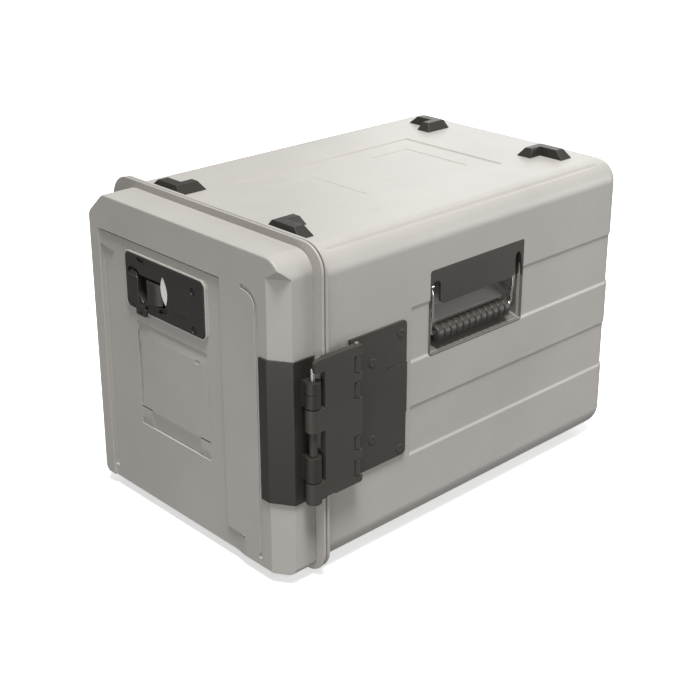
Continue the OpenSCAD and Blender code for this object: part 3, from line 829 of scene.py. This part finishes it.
def build_label():
    y = FRONT + PANEL_D
    plate = slab("label_field", "y", y, FRONT + 7.1, (-107, 51, 132.4, 291.6), 1.0, 0.3, 0)
    # sloped pockets above and below the card field, each deepest away from it
    def slope(z_out, z_in, depth, x0, x1):
        return prism("slope", "x", [(y - 2, z_out), (y + depth, z_out), (y - 0.05, z_in), (y - 2, z_in)], x0, x1)

    upper = slope(293, 273, 3.4, -101, 52.5)
    upper_l = slope(293, 283, 2.6, -108, -100.9)
    lower = slope(131, 160.5, 3.4, -82, 30)
    lower_s = slope(131, 143.5, 2.0, -108, 52.5)
    slot_l = block(-108, -103.4, y - 3, y + 3.4, 164, 279)
    slot_w = block(-104, -100.2, y - 3, y + 3.4, 184, 262)
    gaps = [block(-108, -82, y - 3, y + 3.0, 158, 161), block(30, 52, y - 3, y + 3.0, 158, 161)]
    notch = block(24, 36, y - 3, y + 1.5, 270, 275.5)
    cut(plate, upper, upper_l, lower, lower_s, slot_l, slot_w, notch, *gaps)
    soften(plate, 0.3, 2, 25)
    return piece(plate, "door", "shell_grey", ["label_holder"])


build_label()

# ---------------------------------------------------------------- latch

BOWL = (-61.0, 354.5, 34.5)        # x, z and radius
LENS = (-10.0, 360.0, 32.0)        # circle that meets the bowl in the bright crescent
LATCH_PIN = (-70, -331)            # x and y of the lever's pin


def build_latch():
    bx, bz, br = BOWL
    plate = slab("latch_plate_body", "y", FRONT - 0.5, FRONT + 5, (-122, 55, 314, 394), 9, 1.1, 0, n=8)
    barrel = rod("y", bx, bz, FRONT + 3, FRONT + 26, br + 2, n=56)
    lug = slab("lug", "y", FRONT - 2.2, FRONT + 7, (-117, -92.5, 321, 364), (6, 1, 5, 5), 1.6, 0)
    tab = slab("tab", "y", FRONT - 2.3, FRONT + 2.5, (-99.5, -76.5, 306.5, 322), 3, 1.2, 0)
    field = slab("field", "y", FRONT - 1.1, FRONT + 1, (-14, 22, 333, 367), 1.5, 0.5, 0)
    boss = [block(-76, -64, FRONT + 1, FRONT + 16, z, z + 9) for z in (317, 382)]
    add(plate, barrel, tab, field, *boss)
    bowl = turned("bowl", "y", bx, bz, [(AHEAD, br + 0.6), (FRONT - 0.4, br + 0.6), (FRONT + 0.6, br),
                                        (FRONT + 17, br - 1), (FRONT + 21.5, br - 5), (FRONT + 23.4, br - 12)], 56)
    passage = block(-77, -40, FRONT + 20, FRONT + 30, 346, 362)
    pin = rod("z", *LATCH_PIN, 314, 394, 2.01, n=16)
    eye = rod("y", -88, 311, FRONT - 6, FRONT + 6, 2.0)
    cuts = [bowl, passage, pin, eye]
    for z in (376, 321):
        sink = [(AHEAD, 5.2), (FRONT - 0.3, 5.2), (FRONT + 0.6, 4.5), (FRONT + 2, 4.5)]
        cuts.append(turned("countersink", "y", 31, z, sink, 24))
        cuts.append(rod("y", 31, z, FRONT, FRONT + 9, 2.2, n=16))
    # recess by the top edge and hook-shaped gap round the lock lug
    cuts.append(slab("top_notch", "y", AHEAD, FRONT + 2.5, (-94, -78, 386, 391.5), 2))
    hook = ribbon([(-88, 358), (-91, 366), (-97, 371), (-105, 373), (-112, 371), (-114, 365)], 2.6)
    cuts.append(prism("hook", "y", hook, AHEAD, FRONT + 3.2))
    cut(plate, *cuts)
    # bridge over the top of the bowl, hollow below the bright dish
    bridge = slab("bridge", "y", FRONT - 0.5, FRONT + 4.5, (-100, -28, 367, 391), 2, 0.8, 0)
    lx, lz, lr = LENS
    cut(bridge, rod("y", lx, lz, AHEAD, FRONT + 9, lr + 0.3, n=72),
        prism("hook", "y", hook, AHEAD, FRONT + 9), block(-101, -96, AHEAD, FRONT + 9, 360, 395),
        block(-96, -76, AHEAD, FRONT + 9, 384.5, 395))
    sill = slab("sill", "y", FRONT - 0.5, FRONT + 4.5, (-80, -28, 316, 330.3), 1, 0.5, 0)
    cut(sill, rod("y", lx, lz, AHEAD, FRONT + 9, lr + 0.3, n=72))
    add(plate, bridge, sill, lug)
    hole = rod("y", -75.5, 321, AHEAD, FRONT + 4, 3.4, n=24)
    cut(plate, hole)
    hollow = [(-49, 322), (-37, 322.5), (-28, 327.5), (-26, 333.5), (-33, 333), (-46, 327)]
    cut(plate, prism("hollow", "y", hollow, AHEAD, FRONT + 3.4))
    soften(plate, 0.45, 2, 32)
    piece(plate, "door", "trim_black", ["latch_plate"])
    # near-white dish beside the grip, a painted highlight in place of the lit crescent there
    dish = rod("y", bx, bz, FRONT + 0.5, FRONT + 2.4, br - 0.15, n=96)
    dish.name = "dish"
    solid_op(dish, [rod("y", lx, lz, FRONT - 1, FRONT + 6, lr - 0.1, n=96)], "INTERSECT")
    soften(dish, 0.2, 2, 30)
    dish.name = "latch_dish"
    piece(dish, "door", "shell_grey", mat=CRESCENT_HIGHLIGHT)


def build_lever():
    arc = [(-59 + 21.5 * math.cos(a), FRONT + 16 + 21.5 * math.sin(a))
           for a in (math.radians(d) for d in range(226, 327, 6))]
    outline = arc + [(-40.8, FRONT + 3.2), (-61, FRONT + 3.2), (-64, FRONT + 9), (-73, FRONT + 9)]
    grip = prism("latch_grip", "z", outline, 331.5, 364)
    cut(grip, rod("y", LENS[0], LENS[1], FRONT - 12, FRONT + 12, LENS[2] + 0.5, n=72))
    soften(grip, 1.2, 3, 40)
    barrel = rod("z", *LATCH_PIN, 333.3, 365.8, 5.0, 0.8)
    arm = block(-72, -68, -331, -296, 348, 360)
    end = rod("z", -70, -296, 348, 360, 4.0, 0.5)
    add(barrel, arm, end)
    cut(barrel, rod("z", *LATCH_PIN, 330, 378, 2.06, n=24))
    cut(grip, rod("z", *LATCH_PIN, 330, 378, 4.0, n=24))
    lever = join("latch_grip_lever", grip, barrel)
    piece(shade(lever), "lever", "trim_black", ["latch_lever"])


build_latch()
build_lever()

# ---------------------------------------------------------------- handles

BAIL_X, BAIL_Z, BAIL_LEN = 206.5, 360.0, 71.0


def build_cup():
    """Recess with sloped walls behind a flush face plate, whose tongue hides the top of the hollow."""
    face = slab("face", "x", 212, 215.3, (-78, 117, 262, 387), 4)
    body = block(177, 212.5, -77.4, 113, 266, 383)
    add(face, body)
    levels = ((216.2, (-76.6, 115.6, 263.4, 334), 3.0), (208, (-75.6, 111.5, 268.5, 337), 4.0),
              (181, (-74.4, 104, 281, 344), 5.0))
    basin = hull([(x, y, z) for x, rect, r in levels for y, z in rounded(*rect, r, 4)])
    lip = prism("lip", "z", [(184, -74.6), (210.9, -74.6), (210.9, 111.5), (184, 111.5)], 330, 371)
    left = prism("slot", "x", [(-75.6, 332), (-58, 332), (-58, 364), (-60.5, 369), (-66, 370.5), (-72, 369),
                               (-75.6, 365)], 210.5, 218)
    right = prism("slot", "x", [(99, 332), (114.6, 332), (112.5, 356), (110, 367), (106.5, 370.5), (101.5, 369),
                                (99, 364)], 210.5, 218)
    cut(face, basin, lip, left, right)
    studs = [rod("y", BAIL_X, BAIL_Z, y, y + 4, 1.52, n=16) for y in (-77.2, 109)]
    cut(face, *studs)
    # rounded lower corners of the tongue
    for y, way in ((-58, 1), (99, -1)):
        cut(face, prism("corner", "x", [(y - way, 328), (y + 9 * way, 328), (y + 6 * way, 334.6),
                                        (y + 1.6 * way, 337.5), (y - way, 345)], 210, 218))
    # slope at the back of the hollow, coloured paler as a painted highlight: the light strip seen below the tongue
    slope = prism("recess_slope_r", "y",
                  [(180.5, 371.5), (180.5, 283), (198, 283), (198, 303), (185, 320), (190, 371.5)], -75, 112)
    soften(slope, 0.6, 2, 25)
    # the hollow is split off below the face plate and coloured a mid tone, painted shade on its grey plastic
    basin_part = link("recess_basin_r", face.data.copy())
    cut(face, block(170, 220, -90, 130, 250, 332.2))
    cut(basin_part, block(170, 220, -90, 130, 332.3, 400))
    soften(face, 0.35, 2, 25)
    soften(basin_part, 0.35, 2, 25)
    face.name = "recess_cup_r"
    piece(mirrored("recess_cup_l", face), "cabinet", "trim_black", ["recess_cup_left"], SOFT_BLACK)
    piece(face, "cabinet", "trim_black", ["recess_cup_right"], SOFT_BLACK)
    piece(mirrored("recess_basin_l", basin_part), "cabinet", "trim_black", mat=HOLLOW_SHADE)
    piece(basin_part, "cabinet", "trim_black", mat=HOLLOW_SHADE)
    piece(mirrored("recess_slope_l", slope), "cabinet", "trim_black", mat=SLOPE_HIGHLIGHT)
    piece(slope, "cabinet", "trim_black", mat=SLOPE_HIGHLIGHT)


def build_handles():
    """The steel wire set out in front of the studs it turns on, and its ribbed grip."""
    gz = BAIL_Z - BAIL_LEN
    y0, y1, bend, out = -68.0, 102.0, 8.0, 2.9
    down = [(BAIL_X, BAIL_Z - 2), (BAIL_X, BAIL_Z - 5), (BAIL_X + out * 0.5, BAIL_Z - 9), (BAIL_X + out, BAIL_Z - 14),
            (BAIL_X + out, gz + 30), (BAIL_X + out * 0.5, gz + 22), (BAIL_X, gz + 15)]
    path = [(x, y0, z) for x, z in down]
    path += [(BAIL_X, y0 + bend - bend * math.cos(math.radians(a)), gz + bend - bend * math.sin(math.radians(a)))
             for a in range(0, 91, 10)]
    path += [(BAIL_X, y1 - bend + bend * math.sin(math.radians(a)), gz + bend - bend * math.cos(math.radians(a)))
             for a in range(0, 91, 10)]
    path += [(x, y1, z) for x, z in down[::-1]]
    wire = tube("bail_wire_r", path, 2.8, 18)
    eyes = [rod("y", BAIL_X, BAIL_Z, y - 3.3, y + 3.3, 3.6, 0.8, n=28) for y in (y0, y1)]
    add(wire, *eyes)
    cut(wire, rod("y", BAIL_X, BAIL_Z, y0 - 8, y1 + 8, 1.56, n=16))
    shade(wire)
    piece(mirrored("bail_wire_l", wire), "bail_left", "steel", ["bail_wire_left"])
    piece(wire, "bail_right", "steel", ["bail_wire_right"])

    g0, g1, ribs = -62.0, 90.0, 12
    pitch = (g1 - g0) / ribs
    profile = [(g0, 2.9), (g0, 8.2), (g0 + 0.5, 8.9)]
    for i in range(ribs):
        a = g0 + i * pitch + 0.7
        b = a + pitch - 1.9
        profile += [(a, 9.6), (a + 0.25, 10.6), (a + 1.0, 11.2), (a + 2.4, 11.5), ((a + b) / 2, 11.5),
                    (b - 2.4, 11.5), (b - 1.0, 11.2), (b - 0.25, 10.6), (b, 9.6)]
        if i < ribs - 1:
            profile += [(b + 0.35, 9.3), (b + 0.9, 9.3)]
    profile += [(g1 - 0.6, 8.9), (g1, 8.2), (g1, 2.9)]
    n = 44
    rings = circles("y", BAIL_X, gz, profile, n)
    points = [p for ring in rings for p in ring]
    faces = []
    for k in range(len(rings)):
        for i in range(n):
            j = (i + 1) % n
            m = (k + 1) % len(rings)
            faces.append((k * n + i, k * n + j, m * n + j, m * n + i))
    grip = shade(make("bail_grip_r", points, faces), 50)
    piece(mirrored("bail_grip_l", grip), "bail_left", "trim_black", ["bail_grip_left"], SOFT_BLACK)
    piece(grip, "bail_right", "trim_black", ["bail_grip_right"], SOFT_BLACK)


build_cup()
build_handles()

# ---------------------------------------------------------------- hinge

PIN_F, PIN_R = (224.0, -301.0), (230.0, -231.0)         # x and y of the front and rear pins
WINDOWS = ((143, 168), (182, 203), (257, 281), (293, 317))


def build_hinge():
    fx, fy = PIN_F
    rx, ry = PIN_R
    link_plate = slab("hinge_link_finish", "x", 225.6, 234.6, (-289.2, -223.5, 133, 332), (0, 4, 4, 0))
    for a, b in ((127, 158), (231, 263)):
        add(link_plate, rod("z", fx, fy, a, b, 10.6, n=48), block(225.6, 234.6, fy, fy + 18, max(a, 133), b))
    # lug at the top corner, set back from the pin, and a sleeve between the two knuckles
    add(link_plate, slab("lug", "x", 228.6, 234.6, (-306, -282, 313.5, 332), (4, 0, 0, 6), 0, 0),
        rod("z", fx, fy, 195.6, 233, 5.4, n=40))
    cuts = [block(220, 240, ry - 7, ry + 12, a, b) for a, b in WINDOWS]
    cuts += [block(220, 240, -287, -272, 131, 134.6), rod("z", fx, fy, 120, 318, 3.51, n=40),
             rod("z", rx, ry, 120, 340, 2.51, n=32)]
    cut(link_plate, *cuts)
    soften(link_plate, 0.6, 2, 32)
    piece(link_plate, "link", "trim_black", ["hinge_link"], SOFT_BLACK)

    leaf = slab("hinge_body_leaf_finish", "x", 215.1, 218.8, (ry, -126.6, 133, 333), (0, 6, 6, 0))
    add(leaf, block(215.1, 218.8, -130, -125, 196, 271))
    for a, b in WINDOWS:
        add(leaf, rod("z", rx, ry, a + 1, b - 1, 5.2, n=40), block(217.8, rx, ry, ry + 5.2, a + 1, b - 1))
    cut(leaf, rod("z", rx, ry, 100, 360, 2.56, n=32), block(217.9, 222, -166, -120, 271, 272.6),
        *[rod("x", y, z, 214, 226, 2.7, n=24) for y, z in SCREWS])
    soften(leaf, 0.35, 2, 32)
    piece(leaf, "cabinet", "trim_black", ["hinge_body_leaf"], SOFT_BLACK)

    screw = [(201, 2.4), (218.9, 2.4), (218.9, 6.4), (219.4, 6.4), (219.7, 6.0), (219.9, 5.2), (219.9, 2.6),
             (219.5, 2.2), (219.5, 0.05)]
    heads = [turned("screw", "x", y, z, screw, 36) for y, z in SCREWS]
    piece(shade(join("hinge_fasteners", *heads)), "cabinet", "trim_black", ["hinge_screws"], SOFT_BLACK)

    door_leaf = from_cad("hinge_door_leaf_finish", "hinge_door_leaf")
    ring = rod("z", fx, fy, 283.4, 284.4, 12.0, n=40)
    cut(ring, rod("z", fx, fy, 280, 290, 10.1, n=40), block(200, 240, fy + 2, fy + 20, 280, 290))
    cut(door_leaf, ring)
    add(door_leaf, block(209.1, 212, fy + 2, -287, 124, 327))
    soften(door_leaf, 0.5, 2, 32)
    piece(door_leaf, "door", "trim_black", ["hinge_door_leaf"])


build_hinge()

# ---------------------------------------------------------------- stacking corners


def arm_block(x0, x1, y0, y1, a0, a1, b0, b1):
    """One arm of a stacking corner, whose sides lean in by a0, a1 in x and b0, b1 in y."""
    rings = []
    for z, k in ((462.05, 0.0), (462.9, 0.02), (474.3, 0.97), (475.0, 1.12)):
        xa, xb, ya, yb = x0 + a0 * k, x1 - a1 * k, y0 + b0 * k, y1 - b1 * k
        rings.append([(xa, ya, z), (xb, ya, z), (xb, yb, z), (xa, yb, z)])
    return loft("arm", rings)


CORNER_SPAN = 26           # y of a back corner plus y of its mirror image at the front


def build_corners():
    for side, sx in (("right", 1), ("left", -1)):
        for end, front in (("back", False), ("front", True)):
            corner = arm_block(93, 160, 265, 289, 9, 14, 4, 3)
            add(corner, arm_block(93, 119, 241, 289, 9, 4, 8, 3))

            def place(bm):
                for v in bm.verts:
                    v.co.x *= sx
                    if front:
                        v.co.y = CORNER_SPAN * MM - v.co.y
                face_out(bm)

            edit(corner, place)
            corner.name = "stacking_%s_%s" % (end, side)
            soften(corner, 0.5, 2, 32)
            piece(corner, "cabinet", "trim_black", ["corner_%s_%s" % (end, side)])


build_corners()

# ---------------------------------------------------------------- pieces finished from their CAD shapes

FINISHED = (
    # node, body, slot, edge rounding in mm
    ("inner_liner", "cabinet", "liner_grey", 1.2),
    ("runner_left", "cabinet", "liner_grey", 0.4),
    ("runner_right", "cabinet", "liner_grey", 0.4),
    ("hinge_pin_front", "link", "steel", 0.9),
    ("hinge_pin_rear", "link", "steel", 0.7),
    ("door_liner", "door", "shell_grey", 1.2),
    ("door_seal", "door", "seal_rubber", 0.4),
    ("latch_bolt", "bolt", "steel", 0.6),
)
for node, body, slot, width in FINISHED:
    piece(soften(from_cad(node + "_finish", node), width, 2, 32), body, slot, [node])

screws = soften(from_cad("latch_screws_finish", "latch_screws"), 0.3, 2, 32)
piece(screws, "door", "steel", ["latch_screws"], DARK_STEEL)

for node, slot in (("insulation_core", "foam"), ("door_core", "foam"), ("bail_pivots_right", "steel"),
                   ("bail_pivots_left", "steel"), ("bolt_keeper", "steel"), ("latch_pin", "steel")):
    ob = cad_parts[node]
    ob.data.materials.clear()
    ob.data.materials.append(MATS[slot])

# ---------------------------------------------------------------- floor, light, camera


def build_stage():
    t = Nodes("studio_floor")
    n = t.noise(3.0, 2.0, 0.5)
    tint = t.ramp(n, "Fac", [(0.3, (0.93, 0.93, 0.925, 1)), (0.7, (0.95, 0.95, 0.945, 1))])
    t.colour((tint, "Color"))
    t.bsdf.inputs["Roughness"].default_value = 0.9
    t.bsdf.inputs["Emission Color"].default_value = (1, 1, 1, 1)
    t.bsdf.inputs["Emission Strength"].default_value = 0.55
    s, z = 12.0, -0.0006
    mesh = bpy.data.meshes.new("studio_floor")
    mesh.from_pydata([(-s, -s, z), (s, -s, z), (s, s, z), (-s, s, z)], [], [(0, 1, 2, 3)])
    floor = link("studio_floor", mesh)
    mesh.materials.append(t.mat)
    floor.visible_diffuse = floor.visible_glossy = False
    # the camera sees white, and the pieces are lit by a dim grey
    world = bpy.data.worlds.new("studio")
    world.use_nodes = True
    tree = world.node_tree
    bg = tree.nodes["Background"]
    bg.inputs["Color"].default_value = (1.0, 1.0, 1.0, 1)
    seen = tree.nodes.new("ShaderNodeLightPath")
    level = tree.nodes.new("ShaderNodeMapRange")
    level.inputs["To Min"].default_value, level.inputs["To Max"].default_value = 0.25, 1.0
    tree.links.new(seen.outputs["Is Camera Ray"], level.inputs["Value"])
    tree.links.new(level.outputs["Result"], bg.inputs["Strength"])
    bpy.context.scene.world = world
    bpy.context.scene.view_settings.view_transform = "Standard"


def softbox(name, place, target, size, watts):
    """A wide lamp that the camera doesn't see."""
    data = bpy.data.lights.new(name, "AREA")
    data.shape, data.size, data.size_y, data.energy = "RECTANGLE", size[0], size[1], watts
    ob = link(name, data)
    ob.location = place
    ob.rotation_euler = (Vector(target) - Vector(place)).to_track_quat("-Z", "Y").to_euler()
    ob.visible_camera = False


build_stage()
sun_data = bpy.data.lights.new("overhead", "SUN")
sun_data.energy, sun_data.angle = 4.0, math.radians(18)
sun = link("overhead", sun_data)
sun.rotation_euler = Vector((-0.27, 0.15, -1.0)).to_track_quat("-Z", "Y").to_euler()
softbox("back_panel", (-1.2, 2.6, 1.5), (0, 0.1, 0.4), (2.4, 1.2), 20)
softbox("right_back", (1.9, 1.9, 0.55), (0.2, 0.25, 0.15), (1.3, 0.8), 21)
softbox("low_front", (0.7, -1.7, 0.03), (0.0, -0.34, 0.05), (1.2, 0.2), 11)

YAW, PITCH = math.radians(46.52), math.radians(20.97)
cam_data = bpy.data.cameras.new("camera")
cam_data.lens, cam_data.sensor_width, cam_data.shift_y = 69.05, 36.0, -0.10
cam = link("camera", cam_data)
cam.location = (1.3631, -1.3167, 1.0209)
look = Vector((-math.sin(YAW) * math.cos(PITCH), math.cos(YAW) * math.cos(PITCH), -math.sin(PITCH)))
cam.rotation_euler = look.to_track_quat("-Z", "Y").to_euler()
cam_data.clip_start, cam_data.clip_end = 0.05, 60
bpy.context.scene.camera = cam
